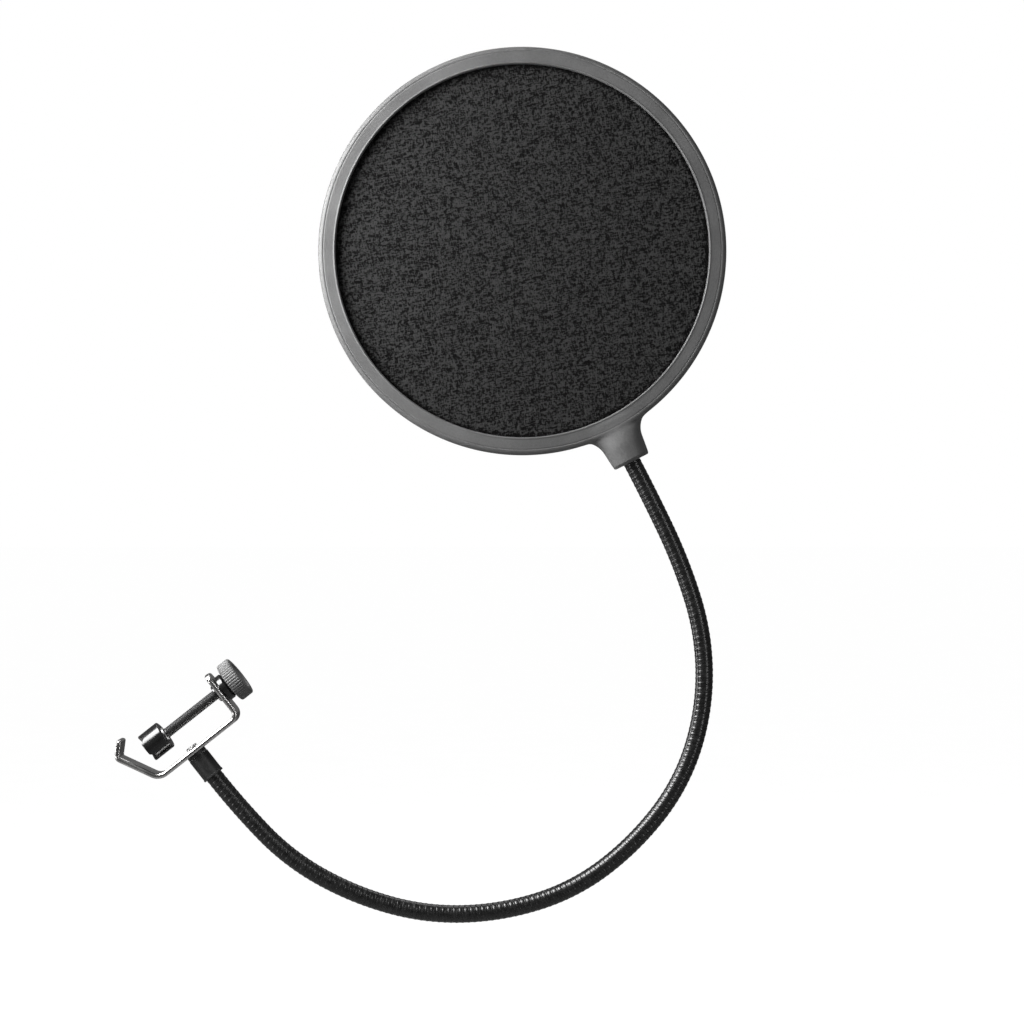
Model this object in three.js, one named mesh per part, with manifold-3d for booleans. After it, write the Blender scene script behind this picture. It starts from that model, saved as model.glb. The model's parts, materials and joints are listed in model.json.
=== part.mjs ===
// A microphone pop filter: a round hoop with two stretched screens, a long bendable gooseneck and a screw clamp.
//
// Millimetres, +Z up. The hoop faces -Y. The origin is the middle of what the clamp grips, between the hook's V and
// the pad. The clamp is built level in its own frame, with the screw along +X and the clamp's back below it, and is
// then turned up by CLAMP_TILT. The gooseneck and the hoop are built where they stand.
import * as THREE from 'three';
import { mergeVertices } from 'three/addons/utils/BufferGeometryUtils.js';
import Module from 'manifold-3d';

const wasm = await Module();
wasm.setup();

// ---------- Driving dimensions ----------
const GAP = 0.3; // between pieces that touch
const SEAM = 0.15; // half the gap between the hoop's two shells

// Hoop, screens and spacer: radii, and distances along Y from the hoop's middle plane.
const HOOP_CENTRE = new THREE.Vector3(145.7, 0, 191.5);
const HOOP_RADIUS = 77.5;
const WINDOW_RADIUS = 70.8;
const HOOP_HALF_DEPTH = 4.5;
const HOOP_EDGE_ROUND = 2.0;
const FLANGE_THICKNESS = 2.0;
const LIP_CHAMFER = 0.5;
const SCREEN_SEAT_RADIUS = 75.2;
const SCREEN_THICKNESS = 0.4;
const SPACER_WIDTH = 3.3;
const TONGUE_RADIUS = 76.35;
const TONGUE_WIDTH = 0.6;
const TONGUE_HEIGHT = 0.9;
const HOOP_SEGMENTS = 72;
const HOOP_EDGE_STEPS = 4;

// Neck: distances run from its open end towards the hoop.
const NECK_END = new THREE.Vector3(187.4, 0, 111.5);
const NECK_HEADING = 116.6;
const NECK_LENGTH = 17.2;
const NECK_END_HALF_WIDTH = 7.25;
const NECK_TAPER = 0.11;
const NECK_FILLET = 8.0;
const NECK_FILLET_START = 7.5;
const NECK_FILLET_LENGTH = 7.2;
const NECK_HALF_DEPTH = 6.6;
const NECK_DEPTH_FALL_START = 9.5;
const NECK_ROOT_HALF_DEPTH = 4.2;
const NECK_END_CHAMFER = 1.0;
const NECK_MOUTH_LENGTH = 0.9;
const INSERT_OUTER_RADIUS = 4.6;
const INSERT_FLANGE_RADIUS = 5.4;
const INSERT_START = 1.2;
const INSERT_FLANGE_START = 7.4;
const INSERT_END = 8.8;

// Gooseneck: equal links from the ferrule's mouth to the neck's end, each with its own bend, in degrees.
const GOOSENECK_RADIUS = 3.4;
const GOOSENECK_LENGTH = 342.6;
const GOOSENECK_HEADING = -52.9;
const LINK_BENDS = [8, 15, 16, 15, 18, 17.5, 17, 18, 20, 14.5, 10.5, 0];
const LINK_LENGTH = GOOSENECK_LENGTH / LINK_BENDS.length;
const GRIP_IN_FERRULE = 5.6;
const GRIP_IN_NECK = 8.4;
const SLEEVE_RADIUS = GOOSENECK_RADIUS + GAP;

// Clamp, in its own level frame: X along the screw, Z towards the open side of the jaw.
const CLAMP_TILT = 38.3;
const STRIP_THICKNESS = 2.0;
const STRIP_WIDTH = 12.0;
const ARM_X = 39.2;
const ARM_TOP_Z = 8.1;
const ARM_END_ROUND = 3.5;
const BACK_Z = -11.8;
const HOOK_FOOT_X = 1.3;
const HOOK_APEX = [-6.7, 4.0];
const HOOK_TIP = [-1.6, 9.0];
const BEND_RADII = [3.0, 5.0, 1.6];

const SCREW_RADIUS = 2.0;
const SCREW_START_X = 7.6;
const SCREW_END_X = 47.4;
const SCREW_GROOVE = [11.5, 13.5];
const SCREW_GROOVE_RADIUS = 1.5;
const BUSH_BORE_RADIUS = 2.3;
const BUSH_BARREL_RADIUS = 2.8;
const BUSH_LIP_RADIUS = 3.4;
const BUSH_LIP_X = 37.1;
const BUSH_COLLAR_RADIUS = 5.3;
const BUSH_COLLAR_END_X = 43.1;
const KNOB_RADIUS = 8.0;
const KNOB_X = [43.7, 49.0];
const KNOB_RIDGES = 36;
const KNOB_RIDGE_HEIGHT = 0.3;
const KNOB_EDGE = 0.7;
const PAD_RADIUS = 5.7;
const PAD_X = [3.9, 12.7];
const PAD_GROOVE_DEPTH = 1.9;
const PAD_SEAT_DEPTH = 1.2;
const RETAINER_X = [11.8, 13.2];
const RETAINER_RADII = [1.85, 2.9];

// Swivel under the clamp's back: distances along Z.
const SWIVEL_X = 17.4;
const SWIVEL_HEAD_RADIUS = 2.3;
const SWIVEL_HEAD_HEIGHT = 0.9;
const SWIVEL_SLOT = [0.7, 0.4];
const SWIVEL_SHANK_RADIUS = 1.5;
const SWIVEL_SHANK_END_Z = -17.2;
const WASHER_RADIUS = 4.0;
const WASHER_THICKNESS = 0.8;
const FERRULE_RADIUS = 4.15;
const FERRULE_LIP = [4.3, 0.8];
const FERRULE_Z = [-23.8, -14.2];
const FERRULE_FLOOR_Z = -17.8;

// ---------- Materials ----------
const finish = (color, roughness, metalness) => new THREE.MeshStandardMaterial({ color, roughness, metalness });
const GREY_PLASTIC = finish(0x5c5d5f, 0.5, 0.0);
const BLACK_PLASTIC = finish(0x0c0c0d, 0.18, 0.0);
const BLACK_MESH = finish(0x17171a, 0.9, 0.0);
const BLACK_STEEL = finish(0x121213, 0.3, 0.6);
const PLATED_STEEL = finish(0xd9dadc, 0.15, 1.0);
const INNER_STEEL = finish(0x8b8d90, 0.35, 1.0);

// ---------- Small tools ----------
const REACH = 60; // long enough for a cutter to pass right through whatever it cuts

const degrees = THREE.MathUtils.degToRad;

/** A closed geometry as a solid that can be joined and cut. */
function solid(geometry) {
  const bare = geometry.clone();
  bare.deleteAttribute('normal');
  bare.deleteAttribute('uv');
  const merged = mergeVertices(bare, 1e-4);
  const corners = Array.from(merged.index.array);
  const triVerts = [];
  for (let i = 0; i < corners.length; i += 3) {
    const [a, b, c] = corners.slice(i, i + 3);
    if (a !== b && b !== c && c !== a) triVerts.push(a, b, c);
  }
  const vertProperties = new Float32Array(merged.attributes.position.array);
  return new wasm.Manifold(new wasm.Mesh({ numProp: 3, vertProperties, triVerts: new Uint32Array(triVerts) }));
}

/** A named, coloured mesh of a solid. */
function piece(name, body, material) {
  const { vertProperties, triVerts } = body.getMesh();
  const geometry = new THREE.BufferGeometry();
  geometry.setAttribute('position', new THREE.BufferAttribute(vertProperties, 3));
  geometry.setIndex(new THREE.BufferAttribute(triVerts, 1));
  geometry.computeVertexNormals();
  const mesh = new THREE.Mesh(geometry, material.clone());
  mesh.name = name;
  return mesh;
}

/** A turned solid about Y. The profile lists [radius, place along the axis], anticlockwise. */
function turned(profile, segments) {
  const points = profile.map(([radius, place]) => new THREE.Vector2(radius, place));
  points.push(points[0].clone());
  return new THREE.LatheGeometry(points, segments);
}

/** Turned about the screw's axis: the profile's places are X. */
const turnedAlongX = (profile, segments = 32) => solid(turned(profile, segments).rotateZ(-Math.PI / 2));

/** Turned about the swivel's axis: the profile's places are Z. */
function turnedAlongZ(profile, segments = 32) {
  return solid(turned(profile, segments).rotateX(Math.PI / 2).translate(SWIVEL_X, 0, 0));
}

/** The profile of a plain tube, or of a rod when the inner radius is 0. */
const tube = (inner, outer, from, to) => [[inner, from], [outer, from], [outer, to], [inner, to]];

const box = (width, depth, height, x, y, z) =>
  solid(new THREE.BoxGeometry(width, depth, height).translate(x, y, z));

/** Moves every vertex of a geometry by a rule from its old place to its new one. */
function reshaped(geometry, rule) {
  const places = geometry.attributes.position;
  const vertex = new THREE.Vector3();
  for (let i = 0; i < places.count; i += 1) {
    const moved = rule(vertex.fromBufferAttribute(places, i));
    places.setXYZ(i, moved.x, moved.y, moved.z);
  }
  return geometry;
}

// ---------- Hoop ----------
/** The half of the hoop's section on the +Y side of the seam, with a tongue or a groove along the seam. */
function hoopProfile(seamOutline) {
  const edge = [];
  for (let step = 0; step <= HOOP_EDGE_STEPS; step += 1) {
    const angle = (step / HOOP_EDGE_STEPS) * (Math.PI / 2);
    edge.push([
      HOOP_RADIUS - HOOP_EDGE_ROUND * (1 - Math.cos(angle)),
      HOOP_HALF_DEPTH - HOOP_EDGE_ROUND * (1 - Math.sin(angle)),
    ]);
  }
  return [
    [SCREEN_SEAT_RADIUS, SEAM],
    ...seamOutline,
    [HOOP_RADIUS, SEAM],
    ...edge,
    [WINDOW_RADIUS + LIP_CHAMFER, HOOP_HALF_DEPTH],
    [WINDOW_RADIUS, HOOP_HALF_DEPTH - LIP_CHAMFER],
    [WINDOW_RADIUS, HOOP_HALF_DEPTH - FLANGE_THICKNESS],
    [SCREEN_SEAT_RADIUS, HOOP_HALF_DEPTH - FLANGE_THICKNESS],
  ];
}

/** A band along the seam, from the seam to the given place. */
const seamBand = (halfWidth, place) => [
  [TONGUE_RADIUS - halfWidth, SEAM],
  [TONGUE_RADIUS - halfWidth, place],
  [TONGUE_RADIUS + halfWidth, place],
  [TONGUE_RADIUS + halfWidth, SEAM],
];

/** Mirrors a profile to the other side of the seam, and keeps it anticlockwise. */
const mirrored = (profile) => profile.map(([radius, place]) => [radius, -place]).reverse();

/** Half the neck's width at a distance from its end: a taper that fillets out into the rim. */
function neckHalfWidth(s) {
  const intoFillet = THREE.MathUtils.clamp(s - NECK_FILLET_START, 0, NECK_FILLET_LENGTH);
  const flare = NECK_FILLET - Math.sqrt(NECK_FILLET ** 2 - intoFillet ** 2);
  return NECK_END_HALF_WIDTH + NECK_TAPER * s + flare;
}

/** Half the neck's depth: full around the insert, then falling smoothly to the rim. */
function neckHalfDepth(s) {
  const fall = THREE.MathUtils.smoothstep(s, NECK_DEPTH_FALL_START, NECK_LENGTH);
  return THREE.MathUtils.lerp(NECK_HALF_DEPTH, NECK_ROOT_HALF_DEPTH, fall);
}

const neckAxis = new THREE.Vector3(Math.cos(degrees(NECK_HEADING)), 0, Math.sin(degrees(NECK_HEADING)));
const neckSide = new THREE.Vector3(neckAxis.z, 0, -neckAxis.x);

/** Carries a point given as (sideways, along the neck, depth) to its place on the neck. */
const onNeck = (sideways, along, depth) =>
  NECK_END.clone().addScaledVector(neckSide, sideways).addScaledVector(neckAxis, along).setY(-depth);

/** The neck's outside as one tapering solid, with its end chamfered. */
function neckBlank() {
  const shape = new THREE.CylinderGeometry(1, 1, NECK_LENGTH, 32, 16);
  return solid(reshaped(shape, ({ x, y, z }) => {
    const s = y + NECK_LENGTH / 2;
    const isEnd = y <= -NECK_LENGTH / 2;
    const chamfer = isEnd ? NECK_END_CHAMFER : 0;
    return onNeck(x * (neckHalfWidth(s) - chamfer), s, z * (neckHalfDepth(s) - chamfer));
  }));
}

/** A solid turned about the neck's axis, the profile's places being distances from the neck's end. */
const turnedAlongNeck = (profile, segments = 24) =>
  solid(reshaped(turned(profile, segments), ({ x, y, z }) => onNeck(x, y, z)));

/** The room inside the neck for the gooseneck's end and its insert. */
function neckCavity() {
  return turnedAlongNeck([
    [0, -1],
    [SLEEVE_RADIUS, -1],
    [SLEEVE_RADIUS, NECK_MOUTH_LENGTH],
    [INSERT_OUTER_RADIUS + GAP, NECK_MOUTH_LENGTH],
    [INSERT_OUTER_RADIUS + GAP, INSERT_FLANGE_START - GAP],
    [INSERT_FLANGE_RADIUS + GAP, INSERT_FLANGE_START - GAP],
    [INSERT_FLANGE_RADIUS + GAP, INSERT_END + GAP],
    [0, INSERT_END + GAP],
  ]);
}

/** One shell of the hoop with its half of the neck. side is -1 for the front shell and 1 for the rear one. */
function hoopShell(side) {
  const facing = (profile) => (side > 0 ? profile : mirrored(profile));
  const onHoop = (profile) =>
    solid(turned(facing(profile), HOOP_SEGMENTS).translate(HOOP_CENTRE.x, HOOP_CENTRE.y, HOOP_CENTRE.z));
  const sideSpace = box(REACH, REACH, REACH, NECK_END.x, side * (REACH / 2 + SEAM), NECK_END.z);
  const screenRoom = onHoop(tube(0, SCREEN_SEAT_RADIUS, 0, HOOP_HALF_DEPTH - FLANGE_THICKNESS));
  const windowRoom = onHoop(tube(0, WINDOW_RADIUS + LIP_CHAMFER, 0, REACH));
  const neck = neckBlank().intersect(sideSpace).subtract(screenRoom).subtract(windowRoom);
  if (side < 0) {
    const tongue = seamBand(TONGUE_WIDTH / 2, -TONGUE_HEIGHT);
    return onHoop(hoopProfile(tongue)).add(neck).subtract(neckCavity());
  }
  const grooveHalfWidth = TONGUE_WIDTH / 2 + GAP;
  const grooveFloor = TONGUE_HEIGHT + GAP + SEAM;
  const groove = seamBand(grooveHalfWidth, grooveFloor);
  const grooveRoom = tube(TONGUE_RADIUS - grooveHalfWidth, TONGUE_RADIUS + grooveHalfWidth, 0, grooveFloor);
  return onHoop(hoopProfile(groove)).add(neck.subtract(onHoop(grooveRoom))).subtract(neckCavity());
}

/** A stretched screen, side -1 for the front one and 1 for the rear one. */
function screen(side) {
  const seat = side * (HOOP_HALF_DEPTH - FLANGE_THICKNESS - GAP - SCREEN_THICKNESS / 2);
  const disc = new THREE.CylinderGeometry(
    SCREEN_SEAT_RADIUS - GAP, SCREEN_SEAT_RADIUS - GAP, SCREEN_THICKNESS, HOOP_SEGMENTS);
  return solid(disc.translate(HOOP_CENTRE.x, seat, HOOP_CENTRE.z));
}

/** The ring that holds the two screens apart. */
function spacerRing() {
  const outer = SCREEN_SEAT_RADIUS - GAP;
  const half = HOOP_HALF_DEPTH - FLANGE_THICKNESS - SCREEN_THICKNESS - 2 * GAP;
  const ring = turned(tube(outer - SPACER_WIDTH, outer, -half, half), HOOP_SEGMENTS);
  return solid(ring.translate(HOOP_CENTRE.x, HOOP_CENTRE.y, HOOP_CENTRE.z));
}

/** The flanged sleeve that anchors the gooseneck inside the neck. */
function neckInsert() {
  return turnedAlongNeck([
    [SLEEVE_RADIUS, INSERT_START],
    [INSERT_OUTER_RADIUS, INSERT_START],
    [INSERT_OUTER_RADIUS, INSERT_FLANGE_START],
    [INSERT_FLANGE_RADIUS, INSERT_FLANGE_START],
    [INSERT_FLANGE_RADIUS, INSERT_END],
    [SLEEVE_RADIUS, INSERT_END],
  ]);
}

// ---------- Gooseneck ----------
/** The clamp frame's turn, which carries its points to where the clamp stands. */
const clampTurn = new THREE.Euler(0, -degrees(CLAMP_TILT), 0);
const gooseneckStart = new THREE.Vector3(SWIVEL_X, 0, FERRULE_Z[0]).applyEuler(clampTurn);

/** Walks a distance along an arc from a place and heading. */
function walk({ x, z, heading }, distance, turnPerLength) {
  const turn = turnPerLength * distance;
  const chord = Math.abs(turn) < 1e-9 ? distance : (2 * Math.sin(turn / 2) * distance) / turn;
  const direction = heading + turn / 2;
  return { x: x + chord * Math.cos(direction), z: z + chord * Math.sin(direction), heading: heading + turn };
}

/** Where each link starts. */
const linkStarts = [{ x: gooseneckStart.x, z: gooseneckStart.z, heading: degrees(GOOSENECK_HEADING) }];
for (const bend of LINK_BENDS) {
  linkStarts.push(walk(linkStarts.at(-1), LINK_LENGTH, degrees(bend) / LINK_LENGTH));
}

/** The gooseneck's centreline at a distance from the ferrule's mouth, straight on past both ends. */
function centreline(s) {
  const link = Math.floor(s / LINK_LENGTH);
  if (link < 0) return walk(linkStarts[0], s, 0);
  if (link >= LINK_BENDS.length) return walk(linkStarts.at(-1), s - GOOSENECK_LENGTH, 0);
  return walk(linkStarts[link], s - link * LINK_LENGTH, degrees(LINK_BENDS[link]) / LINK_LENGTH);
}

/** One link: a round-ended rod bent along the centreline, its ends just clear of the neighbouring links. */
function gooseneckLink(index) {
  const last = LINK_BENDS.length - 1;
  const from = index === 0 ? -GRIP_IN_FERRULE : index * LINK_LENGTH + GAP / 2;
  const to = index === last ? GOOSENECK_LENGTH + GRIP_IN_NECK : (index + 1) * LINK_LENGTH - GAP / 2;
  const straight = to - from - 2 * GOOSENECK_RADIUS;
  const rod = new THREE.CapsuleGeometry(GOOSENECK_RADIUS, straight, 3, 12, 6);
  return solid(reshaped(rod, ({ x, y, z }) => {
    const place = centreline((from + to) / 2 + y);
    return new THREE.Vector3(
      place.x + x * Math.sin(place.heading), -z, place.z - x * Math.cos(place.heading));
  }));
}

// ---------- Clamp ----------
/** The points of one side of a strip that follows corners, each corner an arc, at an offset to the left. */
function stripSide(corners, radii, offset) {
  const side = [];
  corners.forEach((corner, i) => {
    const before = corners[Math.max(i - 1, 0)];
    const after = corners[Math.min(i + 1, corners.length - 1)];
    const incoming = corner.clone().sub(before).normalize();
    const outgoing = after.clone().sub(corner).normalize();
    if (i === 0 || i === corners.length - 1) {
      const along = i === 0 ? outgoing : incoming;
      side.push(corner.clone().add(new THREE.Vector2(-along.y, along.x).multiplyScalar(offset)));
      return;
    }
    const turn = Math.atan2(incoming.cross(outgoing), incoming.dot(outgoing));
    const radius = radii[i - 1];
    const centre = corner.clone().addScaledVector(incoming, -radius * Math.tan(Math.abs(turn) / 2));
    centre.addScaledVector(new THREE.Vector2(-incoming.y, incoming.x), radius * Math.sign(turn));
    const steps = 6;
    for (let step = 0; step <= steps; step += 1) {
      const angle = Math.atan2(incoming.y, incoming.x) + (turn * step) / steps;
      const outward = new THREE.Vector2(Math.sin(angle), -Math.cos(angle));
      side.push(centre.clone().addScaledVector(outward, radius * Math.sign(turn) - offset));
    }
  });
  return side;
}

/** The bent steel strip: free arm, back and hook, with the holes for the bush and the swivel. */
function clampBracket() {
  const corners = [[ARM_X, ARM_TOP_Z], [ARM_X, BACK_Z], [HOOK_FOOT_X, BACK_Z], HOOK_APEX, HOOK_TIP];
  const middle = corners.map(([x, z]) => new THREE.Vector2(x, z));
  const outline = [
    ...stripSide(middle, BEND_RADII, STRIP_THICKNESS / 2).reverse(),
    ...stripSide(middle, BEND_RADII, -STRIP_THICKNESS / 2),
  ];
  const strip = new THREE.ExtrudeGeometry(new THREE.Shape(outline.reverse()), {
    depth: STRIP_WIDTH,
    bevelEnabled: false,
  });
  strip.rotateX(Math.PI / 2).translate(0, STRIP_WIDTH / 2, 0);
  const bushHole = turnedAlongX(
    tube(0, BUSH_BARREL_RADIUS + GAP, ARM_X - STRIP_THICKNESS, ARM_X + STRIP_THICKNESS));
  const swivelHole = turnedAlongZ(
    tube(0, SWIVEL_SHANK_RADIUS + GAP, BACK_Z - STRIP_THICKNESS, BACK_Z + STRIP_THICKNESS));
  return solid(strip).subtract(armEndWaste()).subtract(bushHole).subtract(swivelHole);
}

/** What is cut away to round the two corners of the arm's free end. */
function armEndWaste() {
  const thickness = 2 * STRIP_THICKNESS;
  const cornerY = STRIP_WIDTH / 2 - ARM_END_ROUND;
  const block = box(thickness, 2 * STRIP_WIDTH, 2 * ARM_END_ROUND, ARM_X, 0, ARM_TOP_Z);
  const middle = box(2 * thickness, 2 * cornerY, REACH, ARM_X, 0, ARM_TOP_Z - REACH / 2);
  const corner = (y) => solid(
    new THREE.CylinderGeometry(ARM_END_ROUND, ARM_END_ROUND, 2 * thickness, 24)
      .rotateZ(Math.PI / 2)
      .translate(ARM_X, y, ARM_TOP_Z - ARM_END_ROUND));
  return block.subtract(middle).subtract(corner(cornerY)).subtract(corner(-cornerY));
}

/** The threaded bush riveted in the arm. */
function threadBush() {
  const armFace = ARM_X + STRIP_THICKNESS / 2 + GAP;
  const armInside = ARM_X - STRIP_THICKNESS / 2 - GAP;
  return turnedAlongX([
    [BUSH_BORE_RADIUS, BUSH_LIP_X],
    [BUSH_LIP_RADIUS, BUSH_LIP_X],
    [BUSH_LIP_RADIUS, armInside],
    [BUSH_BARREL_RADIUS, armInside],
    [BUSH_BARREL_RADIUS, armFace],
    [BUSH_COLLAR_RADIUS, armFace],
    [BUSH_COLLAR_RADIUS, BUSH_COLLAR_END_X],
    [BUSH_BORE_RADIUS, BUSH_COLLAR_END_X],
  ]);
}

/** The clamp screw, with the groove near its tip that the retainer sits in. */
function clampScrew() {
  const [grooveFrom, grooveTo] = SCREW_GROOVE;
  return turnedAlongX([
    [0, SCREW_START_X],
    [SCREW_RADIUS, SCREW_START_X],
    [SCREW_RADIUS, grooveFrom],
    [SCREW_GROOVE_RADIUS, grooveFrom],
    [SCREW_GROOVE_RADIUS, grooveTo],
    [SCREW_RADIUS, grooveTo],
    [SCREW_RADIUS, SCREW_END_X],
    [0, SCREW_END_X],
  ], 24);
}

/** The ridged knob, with the blind hole that its screw is pressed into. */
function knob() {
  const outline = [];
  for (let i = 0; i < 2 * KNOB_RIDGES; i += 1) {
    const angle = (Math.PI * i) / KNOB_RIDGES;
    const radius = KNOB_RADIUS - KNOB_EDGE - (i % 2) * KNOB_RIDGE_HEIGHT;
    outline.push(new THREE.Vector2(radius * Math.cos(angle), radius * Math.sin(angle)));
  }
  const [from, to] = KNOB_X;
  const shape = new THREE.ExtrudeGeometry(new THREE.Shape(outline), {
    depth: to - from - 2 * KNOB_EDGE,
    bevelThickness: KNOB_EDGE,
    bevelSize: KNOB_EDGE,
    bevelSegments: 2,
  });
  shape.rotateY(Math.PI / 2).translate(from + KNOB_EDGE, 0, 0);
  const hole = turnedAlongX(tube(0, SCREW_RADIUS + GAP, from - 1, SCREW_END_X + GAP), 24);
  return solid(shape).subtract(hole);
}

/** The pad on the screw's tip: crossed V grooves in its face, and a seat behind for the retainer. */
function pad() {
  const [face, back] = PAD_X;
  const body = turnedAlongX([
    [0, face],
    [PAD_RADIUS, face],
    [PAD_RADIUS, back],
    [RETAINER_RADII[1] + GAP, back],
    [RETAINER_RADII[1] + GAP, back - PAD_SEAT_DEPTH],
    [SCREW_RADIUS + GAP, back - PAD_SEAT_DEPTH],
    [SCREW_RADIUS + GAP, SCREW_START_X - GAP],
    [0, SCREW_START_X - GAP],
  ]);
  const side = PAD_GROOVE_DEPTH * Math.SQRT2;
  const groove = (angle) => solid(
    new THREE.BoxGeometry(side, side, 4 * PAD_RADIUS)
      .rotateZ(Math.PI / 4)
      .rotateX(angle)
      .translate(face, 0, 0));
  return body.subtract(groove(Math.PI / 4)).subtract(groove(-Math.PI / 4));
}

/** The slotted screw that the ferrule turns on, with its head inside the jaw. */
function swivelScrew() {
  const headFrom = BACK_Z + STRIP_THICKNESS / 2 + GAP;
  const headTo = headFrom + SWIVEL_HEAD_HEIGHT;
  const [slotWidth, slotDepth] = SWIVEL_SLOT;
  const body = turnedAlongZ([
    [0, SWIVEL_SHANK_END_Z],
    [SWIVEL_SHANK_RADIUS, SWIVEL_SHANK_END_Z],
    [SWIVEL_SHANK_RADIUS, headFrom],
    [SWIVEL_HEAD_RADIUS, headFrom],
    [SWIVEL_HEAD_RADIUS, headTo],
    [0, headTo],
  ], 24);
  return body.subtract(box(slotWidth, 3 * SWIVEL_HEAD_RADIUS, 2 * slotDepth, SWIVEL_X, 0, headTo));
}

/** The washer between the clamp's back and the ferrule. */
function swivelWasher() {
  const top = BACK_Z - STRIP_THICKNESS / 2 - GAP;
  return turnedAlongZ(tube(SWIVEL_SHANK_RADIUS + GAP, WASHER_RADIUS, top - WASHER_THICKNESS, top));
}

/** The ferrule: threaded for the swivel screw at the top, and crimped on the gooseneck below. */
function clampFerrule() {
  const [mouth, top] = FERRULE_Z;
  const [lipRadius, lipHeight] = FERRULE_LIP;
  return turnedAlongZ([
    [SLEEVE_RADIUS, mouth],
    [lipRadius, mouth],
    [lipRadius, mouth + lipHeight],
    [FERRULE_RADIUS, mouth + lipHeight],
    [FERRULE_RADIUS, top],
    [SWIVEL_SHANK_RADIUS + GAP, top],
    [SWIVEL_SHANK_RADIUS + GAP, FERRULE_FLOOR_Z],
    [SLEEVE_RADIUS, FERRULE_FLOOR_Z],
  ]);
}

// ---------- Assembly ----------
const clamp = new THREE.Group();
clamp.setRotationFromEuler(clampTurn);
clamp.add(
  piece('clamp_bracket', clampBracket(), PLATED_STEEL),
  piece('thread_bush', threadBush(), BLACK_PLASTIC),
  piece('clamp_screw', clampScrew(), BLACK_STEEL),
  piece('knob', knob(), GREY_PLASTIC),
  piece('pad', pad(), BLACK_PLASTIC),
  piece('pad_retainer', turnedAlongX(tube(...RETAINER_RADII, ...RETAINER_X), 24), INNER_STEEL),
  piece('swivel_screw', swivelScrew(), INNER_STEEL),
  piece('swivel_washer', swivelWasher(), BLACK_STEEL),
  piece('clamp_ferrule', clampFerrule(), BLACK_STEEL),
);

const gooseneck = new THREE.Group();
LINK_BENDS.forEach((bend, index) => {
  const number = String(index + 1).padStart(2, '0');
  gooseneck.add(piece(`gooseneck_link_${number}`, gooseneckLink(index), BLACK_STEEL));
});

const hoop = new THREE.Group();
hoop.add(
  piece('hoop_front', hoopShell(-1), GREY_PLASTIC),
  piece('hoop_rear', hoopShell(1), GREY_PLASTIC),
  piece('front_screen', screen(-1), BLACK_MESH),
  piece('rear_screen', screen(1), BLACK_MESH),
  piece('spacer_ring', spacerRing(), BLACK_PLASTIC),
  piece('neck_insert', neckInsert(), INNER_STEEL),
);

const popFilter = new THREE.Group();
popFilter.add(clamp, gooseneck, hoop);

export default popFilter;
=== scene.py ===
"""The looks of a microphone pop filter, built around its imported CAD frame.

Shapes are worked out in millimetres and become metres when their mesh is made. The hoop and the
gooseneck are drawn in the row frame (+Z up, the hoop facing -Y). The clamp's pieces are drawn in the
clamp's own level frame, X along its screw and Z towards the open side of its jaw, and each piece's
object turns them into place.
"""

import json
import math

import bmesh
import bpy
import numpy as np
from mathutils import Matrix, Vector


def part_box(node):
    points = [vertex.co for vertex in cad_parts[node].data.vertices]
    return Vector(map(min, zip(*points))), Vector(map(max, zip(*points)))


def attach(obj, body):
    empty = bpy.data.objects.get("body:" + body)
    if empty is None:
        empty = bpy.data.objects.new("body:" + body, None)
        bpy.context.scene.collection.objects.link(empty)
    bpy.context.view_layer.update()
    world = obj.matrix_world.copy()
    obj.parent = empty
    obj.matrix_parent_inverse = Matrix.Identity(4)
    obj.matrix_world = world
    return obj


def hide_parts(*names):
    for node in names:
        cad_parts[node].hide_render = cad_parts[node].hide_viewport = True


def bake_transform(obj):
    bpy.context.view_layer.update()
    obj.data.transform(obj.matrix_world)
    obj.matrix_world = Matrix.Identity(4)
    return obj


MM = 0.001
FLOOR_GLOW = 0.95

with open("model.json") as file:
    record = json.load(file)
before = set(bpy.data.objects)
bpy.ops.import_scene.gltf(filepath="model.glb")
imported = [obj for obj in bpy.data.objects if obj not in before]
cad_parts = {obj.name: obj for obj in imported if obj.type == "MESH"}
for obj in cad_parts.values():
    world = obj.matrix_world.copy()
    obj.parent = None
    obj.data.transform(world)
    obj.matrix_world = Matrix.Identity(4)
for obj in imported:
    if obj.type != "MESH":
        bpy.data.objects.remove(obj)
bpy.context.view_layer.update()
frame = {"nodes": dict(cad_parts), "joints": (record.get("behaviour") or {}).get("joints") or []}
joints = {joint["name"]: joint for joint in frame["joints"]}
scene = bpy.context.scene


# ---------- Places that the frame gives ----------
def row_extent(node):
    """A CAD node's lowest and highest corner in the row frame."""
    return [np.array(corner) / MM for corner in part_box(node)]


CLAMP_AXES = np.array([joints["knob_turn"]["axis"], (0, 1, 0), -np.array(joints["clamp_swivel"]["axis"])])
CLAMP_TURN = Matrix(CLAMP_AXES.T.tolist()).to_4x4()


def clamp_extent(node):
    """A CAD node's lowest and highest corner in the clamp's own frame."""
    corners = np.array([vertex.co for vertex in frame["nodes"][node].data.vertices]) / MM @ CLAMP_AXES.T
    return corners.min(axis=0), corners.max(axis=0)


screen_low, screen_high = row_extent("front_screen")
HOOP_CENTRE = (screen_low[[0, 2]] + screen_high[[0, 2]]) / 2
SCREEN_RADIUS = (screen_high[0] - screen_low[0]) / 2
SWIVEL_PLACE = CLAMP_AXES @ np.array(joints["clamp_swivel"]["pos_m"]) / MM

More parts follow.
